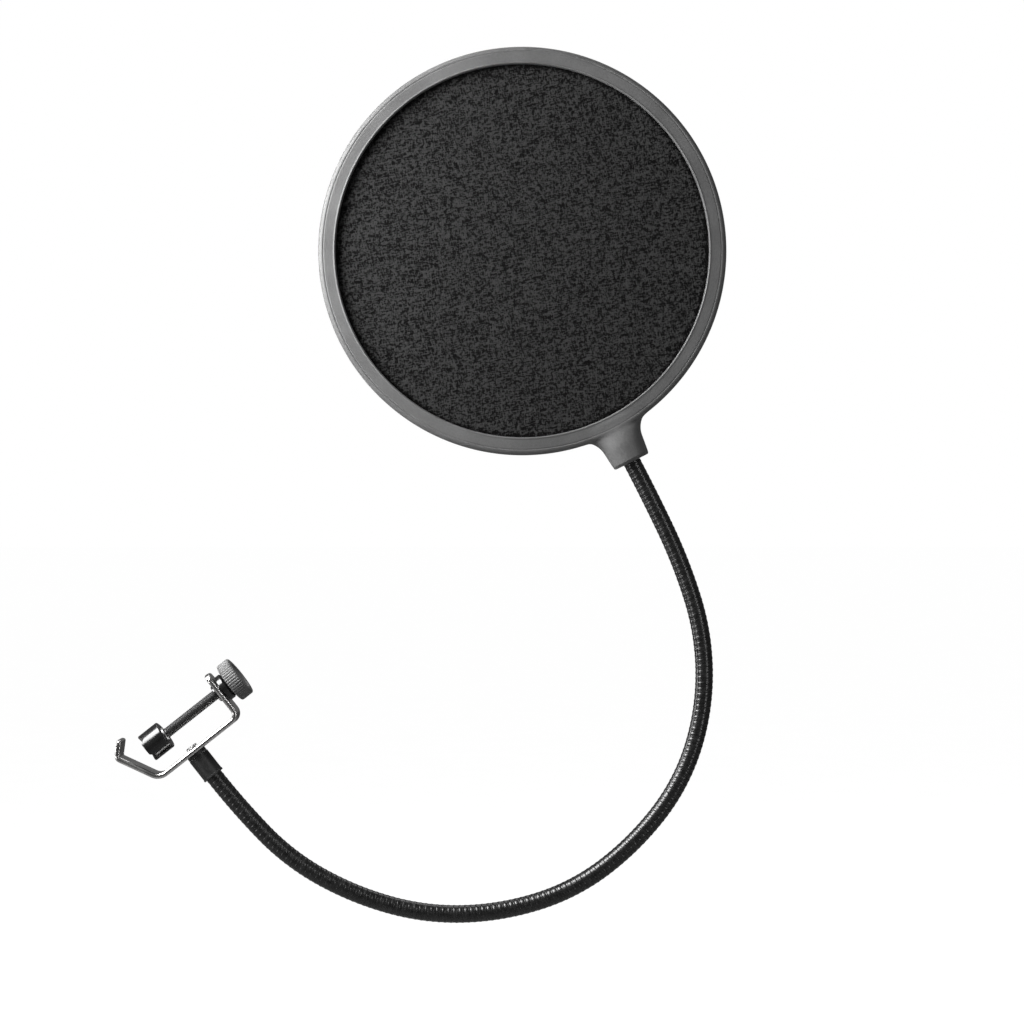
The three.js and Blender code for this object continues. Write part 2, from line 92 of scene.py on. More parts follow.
# ---------- Hoop ----------
HOOP_RADIUS = 77.5
WINDOW_RADIUS = 70.8
LIP_ROUND = 0.5
FACE_HEIGHT = 4.5
FACE_SLOPE = 0.05
CREASE_RADIUS = 75.5
CREASE_DEPTH = 0.13
CREASE_WIDTH = 0.2
LIP_BEAD_HEIGHT = 0.16
LIP_BEAD_WIDTH = 0.3
EDGE_ROUND = HOOP_RADIUS - CREASE_RADIUS
FLANGE_UNDERSIDE = 2.5
SCREEN_SEAT_RADIUS = 75.2
# Where the painted shadow of the lip starts on the screens.
PAINTED_LIP_SHADOW_RADIUS = 68.9
SEAM_GAP = 0.02
SEAM_CHAMFER = 0.16

NECK_END = np.array([187.4, 111.5])
NECK_HEADING = math.radians(116.6)
NECK_LENGTH = 17.2
NECK_END_HALF_WIDTH = 7.25
NECK_TAPER = 0.11
NECK_FILLET = 8.0
NECK_FILLET_START = 7.5
NECK_FILLET_LENGTH = 7.2
NECK_HALF_DEPTH = 6.6
NECK_ROOT_HALF_DEPTH = 4.2
NECK_FALL_START = 6.0
NECK_CORNER = 0.8
NECK_END_CHAMFER = 1.1
NECK_OUTLINE_BLEND = 0.9
NECK_FACE_BLEND = 1.8
NECK_ROOT_SLOPE = 0.6
RIM_END_SLOPE = 8
FINE_RAYS_WITHIN = 15
FINE_RAY_STEP = 0.2
COARSE_RAY_STEP = 1.25
HALVINGS = 40
RIPPLE_HEIGHT = 0.05
FINE_RIPPLE_HEIGHT = 0.03
SLEEVE_RADIUS = 3.7
INSERT_ROOM = [4.9, 0.9, 9.1]

# ---------- Gooseneck ----------
GOOSENECK_RADIUS = 3.4
WINDING_PITCH = 2.2
ROUND_WIRE_SHARE = 0.6
ROUND_WIRE_HEIGHT = 0.17
WEDGE_WIRE_RADIUS = 3.31
WEDGE_WIRE_HEIGHT = 0.06
ROWS_PER_WINDING = 14
WINDING_SEGMENTS = 32
FERRULE_MOUTH_FROM_SWIVEL = 11.0
GRIP_IN_FERRULE = 5.6
GRIP_IN_NECK = 8.4

# ---------- Clamp ----------
STRIP_THICKNESS = 2.0
STRIP_WIDTH = 12.0
STRIP_EDGE_ROUND = 0.8
STRIP_CORNERS = [(39.2, 8.1), (39.2, -11.8), (1.3, -11.8), (-6.7, 4.0), (-1.6, 9.0)]
STRIP_BEND_RADII = [3.0, 5.0, 1.6]
ARM_END_ROUND = 3.5
HOOK_END_ROUND = 1.2
BUSH_HOLE_RADIUS = 3.1
SWIVEL_HOLE_RADIUS = 1.8
BUSH_BORE_RADIUS = 2.25
BUSH_FLANGE_RADIUS = 3.4
BUSH_BARREL_RADIUS = 2.8
BUSH_END_RADIUS = 4.4
BUSH_END_LENGTH = 0.5
STRIP_CLEARANCE = 0.3
THREAD_PITCH = 0.7
THREAD_DEPTH = 0.25
ROWS_PER_THREAD = 8
SCREW_RADIUS = 2.0
SCREW_GROOVE = [11.5, 13.5, 1.5]
KNOB_RIDGES = 48
KNOB_RIDGE_DEPTH = 0.22
KNOB_RIDGE_STEPS = 10
KNOB_BAND_START = 1.1
KNOB_BAND_END = 0.3
KNOB_DISH_RADIUS = 4.9
KNOB_DISH_DEPTH = 0.5
KNOB_SOCKET_RADIUS = 2.3
KNOB_SOCKET_WALL = 1.3
KNOB_RECESS_RADIUS = 4.6
KNOB_RECESS_DEPTH = 0.4
KNOB_SLOPE = 0.6
PAD_GROOVE_DEPTH = 1.9
PAD_SEAT_RADIUS = 3.2
PAD_SEAT_DEPTH = 1.2
PAD_BORE_RADIUS = 2.3
PAD_FACE_THICKNESS = 3.4
RETAINER_BORE_RADIUS = 1.85
SWIVEL_SHANK_RADIUS = 1.5
SWIVEL_HEAD_HEIGHT = 0.9
SLOT_HALF_WIDTH = 0.35
SLOT_DEPTH = 0.45
SQUEEZE = 0.28
FERRULE_RADIUS = 4.15
FERRULE_LIP_RADIUS = 4.3
FERRULE_LIP_HEIGHT = 0.8
FERRULE_TOP_THICKNESS = 3.6
PAD_EDGE_BEVEL = 0.22
BEVEL_FROM_DEGREES = 35


# ---------- Small tools ----------
def smooth_step(value, start, end):
    """0 before start, 1 after end, and an even curve between."""
    share = np.clip((value - start) / (end - start), 0, 1)
    return share * share * (3 - 2 * share)


def smooth_max(a, b, width):
    """The larger of two heights, with the crease between them filled."""
    nearness = np.clip(1 - np.abs(a - b) / width, 0, 1)
    return np.maximum(a, b) + nearness**2 * width / 4


def rounded(corners, closed=True, steps=5):
    """An outline with its corners turned into arcs. Each corner is (x, y, radius of its arc)."""
    places = [np.array(corner[:2], float) for corner in corners]
    outline = []
    for i, (place, radius) in enumerate(zip(places, [corner[2] for corner in corners])):
        is_end = not closed and i in (0, len(places) - 1)
        if is_end or radius == 0:
            outline.append(place)
            continue
        to_last = places[i - 1] - place
        to_next = places[(i + 1) % len(places)] - place
        to_last /= np.linalg.norm(to_last)
        to_next /= np.linalg.norm(to_next)
        half = math.acos(np.clip(to_last @ to_next, -1, 1)) / 2
        bisector = (to_last + to_next) / np.linalg.norm(to_last + to_next)
        centre = place + bisector * radius / math.sin(half)
        first = place + to_last * radius / math.tan(half) - centre
        turn = math.pi - 2 * half
        side = np.sign(to_last[0] * to_next[1] - to_last[1] * to_next[0])
        for step in range(steps + 1):
            angle = -side * turn * step / steps
            cos, sin = math.cos(angle), math.sin(angle)
            spoke = np.array([cos * first[0] - sin * first[1], sin * first[0] + cos * first[1]])
            outline.append(centre + spoke)
    return np.array(outline)


def grid_faces(rows, columns, wrap_rows=False, capped=False):
    """The quads of a grid of points that closes round each row, with its end rows capped if asked."""
    faces = []
    for row in range(rows if wrap_rows else rows - 1):
        here, there = row * columns, (row + 1) % rows * columns
        for column in range(columns):
            beside = (column + 1) % columns
            faces.append((here + column, here + beside, there + beside, there + column))
    if capped:
        faces.append(tuple(range(columns)))
        faces.append(tuple(range((rows - 1) * columns, rows * columns)))
    return faces


def make_piece(name, vertices, faces, look, turn=None, sharp_degrees=38):
    """A mesh object from points in millimetres, closed up, with its faces pointing out."""
    mesh = bpy.data.meshes.new(name)
    mesh.from_pydata((np.asarray(vertices).reshape(-1, 3) * MM).tolist(), [], faces)
    shape = bmesh.new()
    shape.from_mesh(mesh)
    bmesh.ops.remove_doubles(shape, verts=shape.verts, dist=1e-7)
    bmesh.ops.dissolve_degenerate(shape, edges=shape.edges, dist=1e-8)
    bmesh.ops.recalc_face_normals(shape, faces=shape.faces)
    shape.to_mesh(mesh)
    shape.free()
    mesh.shade_smooth()
    mesh.set_sharp_from_angle(angle=math.radians(sharp_degrees))
    mesh.materials.append(look)
    piece = bpy.data.objects.new(name, mesh)
    scene.collection.objects.link(piece)
    if turn is not None:
        piece.matrix_world = turn
    return piece


def settle(piece):
    """Makes a piece's modifiers part of its mesh."""
    bpy.context.view_layer.update()
    evaluated = piece.evaluated_get(bpy.context.evaluated_depsgraph_get())
    piece.data = bpy.data.meshes.new_from_object(evaluated)
    piece.modifiers.clear()
    return piece


def cut(piece, cutter):
    """Takes the cutter's room out of a piece, and removes the cutter."""
    modifier = piece.modifiers.new("cut", "BOOLEAN")
    modifier.operation = "DIFFERENCE"
    modifier.solver = "EXACT"
    modifier.object = cutter
    settle(piece)
    bpy.data.objects.remove(cutter)
    return piece


def soften(piece, bevel=0.0):
    """Rounds a piece's sharp edges if asked, and evens its shading so that flat faces stay flat."""
    if bevel:
        edges = piece.modifiers.new("edges", "BEVEL")
        edges.width = bevel * MM
        edges.segments = 3
        edges.limit_method = "ANGLE"
        edges.angle_limit = math.radians(BEVEL_FROM_DEGREES)
    shading = piece.modifiers.new("shading", "WEIGHTED_NORMAL")
    shading.mode = "FACE_AREA"
    shading.keep_sharp = True
    return settle(piece)


def about_screw(radius, place, angle):
    """Points round the screw's axis, in the clamp's frame."""
    return np.stack([place + 0 * angle, radius * np.cos(angle), radius * np.sin(angle)], axis=-1)


def about_swivel(radius, place, angle):
    """Points round the swivel's axis, in the clamp's frame."""
    x = SWIVEL_PLACE[0] + radius * np.cos(angle)
    return np.stack([x, radius * np.sin(angle), place + 0 * angle], axis=-1)


def turned(name, profile, about, look, segments=72):
    """A turned piece of the clamp. Each corner of its profile is (radius, place along the axis, rounding)."""
    outline = rounded(profile)
    angles = np.linspace(0, 2 * math.pi, segments, endpoint=False)
    rings = about(outline[:, :1], outline[:, 1:], angles[None, :])
    faces = grid_faces(len(outline), segments, wrap_rows=True)
    return make_piece(name, rings, faces, look, CLAMP_TURN)


# ---------- Finishes ----------
class Look:
    """A procedural finish. Its patterns are laid in the object's own space, in millimetres."""

    def __init__(self, name, roughness=0.5, metallic=0.0, specular=0.5):
        self.material = bpy.data.materials.new(name)
        self.material.use_nodes = True
        self.tree = self.material.node_tree
        self.shader = self.tree.nodes["Principled BSDF"]
        self.shader.inputs["Roughness"].default_value = roughness
        self.shader.inputs["Metallic"].default_value = metallic
        self.shader.inputs["Specular IOR Level"].default_value = specular
        self.relief = None

    def node(self, kind, **settings):
        made = self.tree.nodes.new(kind)
        for name, value in settings.items():
            setattr(made, name, value)
        return made

    def feed(self, node, **values):
        """Sets a node's inputs by name, a link where the value is another node's output."""
        for name, value in values.items():
            socket = node.inputs[name.replace("_", " ")]
            if isinstance(value, bpy.types.NodeSocket):
                self.tree.links.new(value, socket)
            else:
                socket.default_value = value
        return node

    def space(self, stretch=(1, 1, 1), turn=(0, 0, 0)):
        """Object coordinates in millimetres, drawn out along each axis by stretch."""
        coordinates = self.node("ShaderNodeTexCoord").outputs["Object"]
        rotation = self.feed(self.node("ShaderNodeMapping"), Vector=coordinates, Rotation=turn)
        scale = tuple(1 / (MM * factor) for factor in stretch)
        turned_space = rotation.outputs["Vector"]
        stretching = self.feed(self.node("ShaderNodeMapping"), Vector=turned_space, Scale=scale)
        return stretching.outputs["Vector"]

    def noise(self, size, detail=2.0, stretch=(1, 1, 1), turn=(0, 0, 0), distortion=0.0):
        """Cloudy noise whose features are about size millimetres across."""
        texture = self.feed(
            self.node("ShaderNodeTexNoise"),
            Vector=self.space(stretch, turn),
            Scale=1 / size,
            Detail=detail,
            Distortion=distortion,
        )
        return texture.outputs["Fac"]

    def distance_from(self, middle):
        """How far each place is from a middle given in millimetres, in metres."""
        place = self.node("ShaderNodeTexCoord").outputs["Object"]
        measure = self.node("ShaderNodeVectorMath", operation="DISTANCE")
        self.tree.links.new(place, measure.inputs[0])
        measure.inputs[1].default_value = [value * MM for value in middle]
        return measure.outputs["Value"]

    def sum(self, *patterns):
        """A weighted sum of patterns, each given as (pattern, weight)."""
        total = 0.0
        for pattern, weight in patterns:
            total = self.feed_math("MULTIPLY_ADD", pattern, weight, total)
        return total

    def feed_math(self, operation, *values):
        made = self.node("ShaderNodeMath", operation=operation)
        for socket, value in zip(made.inputs, values):
            if isinstance(value, bpy.types.NodeSocket):
                self.tree.links.new(value, socket)
            else:
                socket.default_value = value
        return made.outputs["Value"]

    def spread(self, pattern, low, high, start=0.35, end=0.65):
        """A pattern from start to end carried over to the range low to high."""
        made = self.feed(
            self.node("ShaderNodeMapRange"),
            Value=pattern,
            From_Min=start,
            From_Max=end,
            To_Min=low,
            To_Max=high,
        )
        return made.outputs["Result"]

    def colour(self, pattern, dark, light, start=0.35, end=0.65):
        ramp = self.node("ShaderNodeValToRGB")
        ramp.color_ramp.elements[0].position = start
        ramp.color_ramp.elements[1].position = end
        ramp.color_ramp.elements[0].color = (*dark, 1)
        ramp.color_ramp.elements[1].color = (*light, 1)
        self.tree.links.new(pattern, ramp.inputs["Fac"])
        self.tree.links.new(ramp.outputs["Color"], self.shader.inputs["Base Color"])

    def roughness(self, pattern, low, high, start=0.35, end=0.65):
        self.tree.links.new(self.spread(pattern, low, high, start, end), self.shader.inputs["Roughness"])

    def bump(self, pattern, height, strength=1.0):
        """Adds relief to the surface, height millimetres from the pattern's 0 to its 1."""
        made = self.feed(self.node("ShaderNodeBump"), Height=pattern, Distance=height * MM, Strength=strength)
        if self.relief is not None:
            self.tree.links.new(self.relief, made.inputs["Normal"])
        self.relief = made.outputs["Normal"]
        self.tree.links.new(self.relief, self.shader.inputs["Normal"])


def grey(value, warmth=0.0):
    return (value * (1 + warmth), value, value * (1 - warmth))


def moulded_grey(name, dark, light):
    """Satin moulded plastic: a fine spark-eroded grain, slight clouding and handling marks."""
    look = Look(name, specular=0.45)
    clouds = look.noise(14.0, detail=3.0)
    grain = look.noise(0.28, detail=2.0)
    flecks = look.noise(0.9, detail=3.0)
    look.colour(look.sum((clouds, 0.45), (flecks, 0.3), (grain, 0.25)), grey(dark), grey(light))
    look.roughness(look.sum((clouds, 0.5), (flecks, 0.5)), 0.42, 0.56)
    look.bump(grain, 0.05)
    look.bump(clouds, 0.12)
    return look.material


def screen_fabric():
    """Black nylon mesh: short threads that cross over a dark ground, darkened towards its rim by a painted
    shadow of the lip.
    """
    look = Look("screen_fabric", specular=0.04)
    turn = (0, math.radians(12), 0)
    warp = look.noise(0.6, detail=1.0, stretch=(2.6, 1, 0.8), turn=turn, distortion=0.3)
    weft = look.noise(0.6, detail=1.0, stretch=(0.8, 1, 2.0), turn=turn, distortion=0.3)
    slubs = look.noise(2.4, detail=2.0, stretch=(1.6, 1, 1), turn=turn)
    threads = look.sum((warp, 0.46), (weft, 0.44), (slubs, 0.1))
    # Painted shadow: the mesh's colour is darkened in a ring from just inside the window out to its edge,
    # where the lip's shade falls.
    from_middle = look.distance_from((HOOP_CENTRE[0], 0, HOOP_CENTRE[1]))
    edge = look.spread(from_middle, 0, 1, start=PAINTED_LIP_SHADOW_RADIUS * MM, end=WINDOW_RADIUS * MM)
    threads_with_painted_shadow = look.sum((threads, 1.0), (edge, -0.12))
    look.colour(threads_with_painted_shadow, grey(0.003), grey(0.038), start=0.43, end=0.57)
    look.roughness(threads, 0.85, 0.6, start=0.43, end=0.57)
    look.bump(threads, 0.5)
    return look.material


def gloss_black():
    """Polished black plastic with faint smears and a little dust."""
    look = Look("gloss_black", specular=0.6)
    smears = look.noise(5.0, detail=4.0, stretch=(1, 1, 2.5))
    dust = look.noise(0.35, detail=1.0)
    look.colour(look.sum((smears, 0.6), (dust, 0.4)), grey(0.004), grey(0.009))
    look.roughness(look.sum((smears, 0.7), (dust, 0.3)), 0.1, 0.22)
    look.bump(smears, 0.03)
    return look.material


def black_plastic():
    """Matt moulded black, for the ring between the screens."""
    look = Look("black_plastic", specular=0.4)
    clouds = look.noise(6.0, detail=3.0)
    look.colour(clouds, grey(0.006), grey(0.016))
    look.roughness(clouds, 0.5, 0.65)
    look.bump(look.noise(0.4), 0.03)
    return look.material


def plated_steel():
    """Bright nickel plate over a rolled strip: faint rolling lines, soft waviness and fine scratches."""
    look = Look("plated_steel", metallic=1.0)
    waves = look.noise(9.0, detail=2.0)
    rolling = look.noise(0.5, detail=3.0, stretch=(14, 1, 14))
    scratches = look.noise(0.25, detail=1.0, stretch=(1, 9, 4), turn=(0.3, 0.2, 0.5))
    look.colour(look.sum((waves, 0.6), (rolling, 0.4)), grey(0.62, 0.01), grey(0.86, 0.01))
    look.roughness(look.sum((waves, 0.4), (rolling, 0.6)), 0.13, 0.27)
    look.bump(rolling, 0.02)
    look.bump(scratches, 0.012)
    look.bump(waves, 0.15)
    return look.material


def bare_steel():
    """Zinc-plated steel, duller and finer than the strip."""
    look = Look("bare_steel", metallic=1.0)
    clouds = look.noise(1.6, detail=4.0)
    look.colour(clouds, grey(0.28), grey(0.48))
    look.roughness(clouds, 0.28, 0.45)
    look.bump(look.noise(0.3, detail=2.0), 0.02)
    return look.material


def black_steel(name, dark, light, smooth, rough):
    """Black oxide on steel, rubbed a little brighter in patches."""
    look = Look(name, specular=0.6)
    rubbed = look.noise(1.8, detail=4.0)
    grain = look.noise(0.2, detail=1.0)
    look.colour(look.sum((rubbed, 0.75), (grain, 0.25)), grey(dark), grey(light), start=0.42, end=0.68)
    look.roughness(look.sum((rubbed, 0.6), (grain, 0.4)), smooth, rough)
    look.bump(grain, 0.02)
    return look.material


def pale_floor():
    """White paper that the camera sees as brightly as the room, so that no horizon shows."""
    look = Look("pale_floor", roughness=0.9, specular=0.1)
    look.colour(look.noise(60.0, detail=4.0), grey(0.32), grey(0.36))
    seen = look.node("ShaderNodeLightPath").outputs["Is Camera Ray"]
    look.tree.links.new(seen, look.shader.inputs["Emission Strength"])
    look.shader.inputs["Emission Color"].default_value = (*grey(FLOOR_GLOW), 1)
    return look.material


LOOKS = {
    "grey_plastic": moulded_grey("grey_plastic", 0.085, 0.125),
    "screen_mesh": screen_fabric(),
    "black_plastic": black_plastic(),
    "gloss_black": gloss_black(),
    "plated_steel": plated_steel(),
    "bare_steel": bare_steel(),
    "black_steel": black_steel("black_steel", 0.004, 0.014, 0.4, 0.52),
    "gooseneck_black": black_steel("gooseneck_black", 0.005, 0.016, 0.2, 0.32),
}


def place_on(piece, body, slot, *nodes):
    """A finished piece rides on a body and stands for its CAD nodes, which it hides. slot is not used."""
    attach(piece, body)
    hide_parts(*nodes)
    return piece


# ---------- Camera and light ----------
CAMERA_PLACE = Vector((0.1418, -1.0, 0.0924))
CAMERA_LENS = 92.4
FLOOR_HEIGHT = -0.32
FLOOR_SIZE = 60.0


def add_camera():
    data = bpy.data.cameras.new("camera")
    data.lens = CAMERA_LENS
    data.clip_end = 100
    camera = bpy.data.objects.new("camera", data)
    camera.location = CAMERA_PLACE
    camera.rotation_euler = (math.radians(90), 0, 0)
    scene.collection.objects.link(camera)
    scene.camera = camera


def add_softbox(name, place, target, width, height, power):
    """A large soft lamp that faces a target. Places are in metres."""
    data = bpy.data.lights.new(name, "AREA")
    data.shape = "RECTANGLE"
    data.size = width
    data.size_y = height
    data.energy = power
    lamp = bpy.data.objects.new(name, data)
    lamp.location = place
    lamp.rotation_euler = (Vector(target) - Vector(place)).to_track_quat("-Z", "Y").to_euler()
    lamp.visible_camera = False
    scene.collection.objects.link(lamp)


def add_world(seen, lighting):
    """A white room: bright where it is seen, and dimmer where it lights the object."""
    world = bpy.data.worlds.new("room")
    world.use_nodes = True
    tree = world.node_tree
    background = tree.nodes["Background"]
    path = tree.nodes.new("ShaderNodeLightPath")
    strength = tree.nodes.new("ShaderNodeMapRange")
    strength.inputs["To Min"].default_value = lighting
    strength.inputs["To Max"].default_value = seen
    tree.links.new(path.outputs["Is Camera Ray"], strength.inputs["Value"])
    tree.links.new(strength.outputs["Result"], background.inputs["Strength"])
    background.inputs["Color"].default_value = (1, 1, 1, 1)
    scene.world = world


def add_floor():
    half = FLOOR_SIZE / 2 / MM
    height = FLOOR_HEIGHT / MM
    corners = [(-half, -half, height), (half, -half, height), (half, half, height), (-half, half, height)]
    mesh = bpy.data.meshes.new("floor")
    mesh.from_pydata((np.array(corners) * MM).tolist(), [], [(0, 1, 2, 3)])
    mesh.materials.append(pale_floor())
    floor = bpy.data.objects.new("floor", mesh)
    scene.collection.objects.link(floor)


def light_the_room():
    middle = (HOOP_CENTRE[0] * MM, 0, HOOP_CENTRE[1] * MM)
    add_world(seen=1.0, lighting=0.12)
    add_softbox("key", (-0.16, -0.13, 0.29), middle, 0.2, 0.3, 3.9)
    add_softbox("overhead", (-0.45, -0.3, 0.95), middle, 1.0, 0.8, 4.0)
    add_softbox("left_strip", (-1.25, 0.45, 0.3), middle, 0.15, 1.2, 8.0)
    add_softbox("right_strip", (0.95, -1.0, 0.3), middle, 0.08, 1.2, 3.0)
    add_softbox("back_fill", (0.3, 1.0, 1.5), middle, 1.0, 0.8, 4.5)
    add_softbox("low_left", (-0.7, -0.5, -0.2), (0, 0, 0), 0.3, 0.2, 1.2)


# ---------- Hoop pieces ----------
NECK_AXIS = np.array([math.cos(NECK_HEADING), math.sin(NECK_HEADING)])
NECK_SIDE = np.array([NECK_AXIS[1], -NECK_AXIS[0]])


def neck_half_width(along):
    into_fillet = np.clip(along - NECK_FILLET_START, 0, NECK_FILLET_LENGTH)
    flare = NECK_FILLET - np.sqrt(NECK_FILLET**2 - into_fillet**2)
    return NECK_END_HALF_WIDTH + NECK_TAPER * along + flare


def neck_half_depth(along):
    fall = smooth_step(along, NECK_FALL_START, NECK_LENGTH)
    return NECK_HALF_DEPTH + (NECK_ROOT_HALF_DEPTH - NECK_HALF_DEPTH) * fall


def neck_coordinates(places):
    """How far places in the hoop's plane lie to the neck's side, and along it from its open end."""
    offsets = places - NECK_END
    return offsets @ NECK_SIDE, offsets @ NECK_AXIS


def inside_neck(places):
    """Above 0 inside the neck's outline, whose two free corners are rounded."""
    sideways, along = neck_coordinates(places)
    from_end = np.maximum(NECK_CORNER - along, 0)
    from_side = np.maximum(NECK_CORNER - (neck_half_width(np.maximum(along, 0)) - np.abs(sideways)), 0)
    return NECK_CORNER - np.hypot(from_end, from_side)


def outline_radii(rays):
    """How far each ray from the hoop's centre goes before it leaves the rim or the neck."""
    near = np.full(len(rays), SCREEN_SEAT_RADIUS)
    far = np.full(len(rays), HOOP_RADIUS + NECK_LENGTH)
    faces_neck = rays @ NECK_AXIS < 0
    crosses_neck = faces_neck & (inside_neck(HOOP_CENTRE + near[:, None] * rays) > 0)
    for _ in range(HALVINGS):
        middle = (near + far) / 2
        is_inside = inside_neck(HOOP_CENTRE + middle[:, None] * rays) > 0
        near = np.where(is_inside, middle, near)
        far = np.where(is_inside, far, middle)
    neck_reach = np.where(crosses_neck, near, 0)
    return smooth_max(np.full(len(rays), HOOP_RADIUS), neck_reach, NECK_OUTLINE_BLEND)


def rim_height(radius):
    """The rim's face from the window out: beaded lip, slightly falling face, fine crease and rounded edge."""
    into_lip = np.clip(WINDOW_RADIUS + LIP_ROUND - radius, 0, LIP_ROUND)
    into_edge = np.clip(radius - CREASE_RADIUS, 0, EDGE_ROUND)
    face = FACE_HEIGHT - FACE_SLOPE * (np.minimum(radius, CREASE_RADIUS) - WINDOW_RADIUS)
    lip = LIP_ROUND - np.sqrt(LIP_ROUND**2 - into_lip**2)
    edge = EDGE_ROUND - np.sqrt(EDGE_ROUND**2 - into_edge**2)
    crease = CREASE_DEPTH * np.exp(-(((radius - CREASE_RADIUS) / CREASE_WIDTH) ** 2))
    bead_middle = WINDOW_RADIUS + LIP_ROUND
    bead = LIP_BEAD_HEIGHT * np.exp(-(((radius - bead_middle) / LIP_BEAD_WIDTH) ** 2))
    beyond = RIM_END_SLOPE * np.maximum(radius - HOOP_RADIUS, 0)
    return face + bead - lip - edge - crease - beyond


def neck_height(places):
    """The neck's rounded back, elliptical across, with its open end's edge chamfered."""
    sideways, along = neck_coordinates(places)
    along = np.maximum(along, 0)
    across = np.clip(1 - (sideways / neck_half_width(along)) ** 2, 0, 1)
    end = np.maximum(NECK_END_CHAMFER - along, 0)
    past_root = NECK_ROOT_SLOPE * np.maximum(along - NECK_LENGTH, 0)
    return neck_half_depth(along) * np.sqrt(across) - end - past_root


def ray_angles():
    """Rays from the hoop's centre, close together across the neck."""
    towards_neck = NECK_END - HOOP_CENTRE
    fine = np.arange(-FINE_RAYS_WITHIN, FINE_RAYS_WITHIN, FINE_RAY_STEP)
    coarse = np.arange(FINE_RAYS_WITHIN, 360 - FINE_RAYS_WITHIN, COARSE_RAY_STEP)
    return math.atan2(towards_neck[1], towards_neck[0]) + np.radians(np.concatenate([fine, coarse]))


def section_radii(reach):
    """Where the face is sampled along each ray: close together at the lip, the crease and the edge."""
    lip = WINDOW_RADIUS + LIP_ROUND * (1 - np.cos(np.linspace(0, math.pi / 2, 6)))
    bead = WINDOW_RADIUS + LIP_ROUND + LIP_BEAD_WIDTH * np.linspace(0, 2, 6)[1:]
    face = np.linspace(bead[-1], CREASE_RADIUS - 2.5 * CREASE_WIDTH, 7)[1:]
    crease = CREASE_RADIUS + CREASE_WIDTH * np.linspace(-1.6, 1.6, 7)
    fixed = np.concatenate([lip, bead, face, crease])
    start = fixed[-1]
    share = np.sin(np.linspace(0, math.pi / 2, 34))[1:]
    outer = start + (reach[:, None] - start) * share[None, :]
    return np.hstack([np.tile(fixed, (len(reach), 1)), outer])


def neck_cavity():
    """The room inside the neck for the gooseneck's end and its insert."""
    room_radius, room_start, room_end = INSERT_ROOM
    profile = rounded([
        (0, -1, 0),
        (SLEEVE_RADIUS, -1, 0),
        (SLEEVE_RADIUS, room_start, 0),
        (room_radius, room_start, 0),
        (room_radius, room_end, 0),
        (0, room_end, 0),
    ])
    angles = np.linspace(0, 2 * math.pi, 64, endpoint=False)
    radius, along = profile[:, :1], profile[:, 1:] + 0 * angles
    plane = NECK_END + (radius * np.cos(angles))[..., None] * NECK_SIDE + along[..., None] * NECK_AXIS
    rings = np.stack([plane[..., 0], radius * np.sin(angles), plane[..., 1]], axis=-1)
    faces = grid_faces(len(profile), len(angles), wrap_rows=True)
    return make_piece("cavity", rings, faces, LOOKS["grey_plastic"])


def hoop_shell(name, side):
    """One half of the hoop and neck. side is -1 for the front and 1 for the rear."""
    angles = ray_angles()
    rays = np.stack([np.cos(angles), np.sin(angles)], axis=-1)
    reach = outline_radii(rays)
    radii = section_radii(reach)
    places = HOOP_CENTRE + radii[..., None] * rays[:, None, :]
    heights = smooth_max(rim_height(radii), neck_height(places), NECK_FACE_BLEND)
    wall_top = heights[:, -1]
    ones = np.ones(len(angles))
    inner_loop = [
        (reach, SEAM_CHAMFER + 0.5 * (wall_top - SEAM_CHAMFER)),
        (reach, SEAM_CHAMFER * ones),
        (reach - SEAM_CHAMFER, SEAM_GAP * ones),
        (SCREEN_SEAT_RADIUS * ones, SEAM_GAP * ones),
        (SCREEN_SEAT_RADIUS * ones, FLANGE_UNDERSIDE * ones),
        (WINDOW_RADIUS * ones, FLANGE_UNDERSIDE * ones),
    ]
    radii = np.hstack([radii, np.stack([radius for radius, _ in inner_loop], axis=-1)])
    heights = np.hstack([heights, np.stack([height for _, height in inner_loop], axis=-1)])
    plane = HOOP_CENTRE + radii[..., None] * rays[:, None, :]
    points = np.stack([plane[..., 0], side * heights, plane[..., 1]], axis=-1)
    faces = grid_faces(len(angles), radii.shape[1], wrap_rows=True)
    shell = make_piece(name, points, faces, LOOKS["grey_plastic"])
    cut(shell, neck_cavity())
    return soften(shell)


def screen(name, side):
    """A stretched disc of mesh, drawn tight but never quite even."""
    low, high = row_extent(name)
    middle, half = (low[1] + high[1]) / 2, (high[1] - low[1]) / 2
    angles = np.linspace(0, 2 * math.pi, 180, endpoint=False)
    radii = SCREEN_RADIUS * np.linspace(0, 1, 61)[:, None]
    x, z = radii * np.cos(angles), radii * np.sin(angles)
    tight = 1 - (radii / SCREEN_RADIUS) ** 4
    wide_ripple = RIPPLE_HEIGHT * np.sin(x / 7 + side) * np.sin(z / 9)
    ripple = wide_ripple + FINE_RIPPLE_HEIGHT * np.sin((x + z) / 4.3)
    waver = middle + tight * ripple
    layers = []
    for offset in (-half, half):
        layers.append(np.stack([HOOP_CENTRE[0] + x, waver + offset, HOOP_CENTRE[1] + z], axis=-1))
    points = np.concatenate([layers[0], layers[1][::-1]])
    return make_piece(name + "_mesh", points, grid_faces(len(points), len(angles)), LOOKS["screen_mesh"])


def build_hoop():
    for name, side in (("hoop_front", -1), ("hoop_rear", 1)):
        place_on(hoop_shell(name + "_shell", side), "hoop", "grey_plastic", name)
    for name, side in (("front_screen", -1), ("rear_screen", 1)):
        mesh = place_on(screen(name, side), "hoop", "screen_mesh", name)


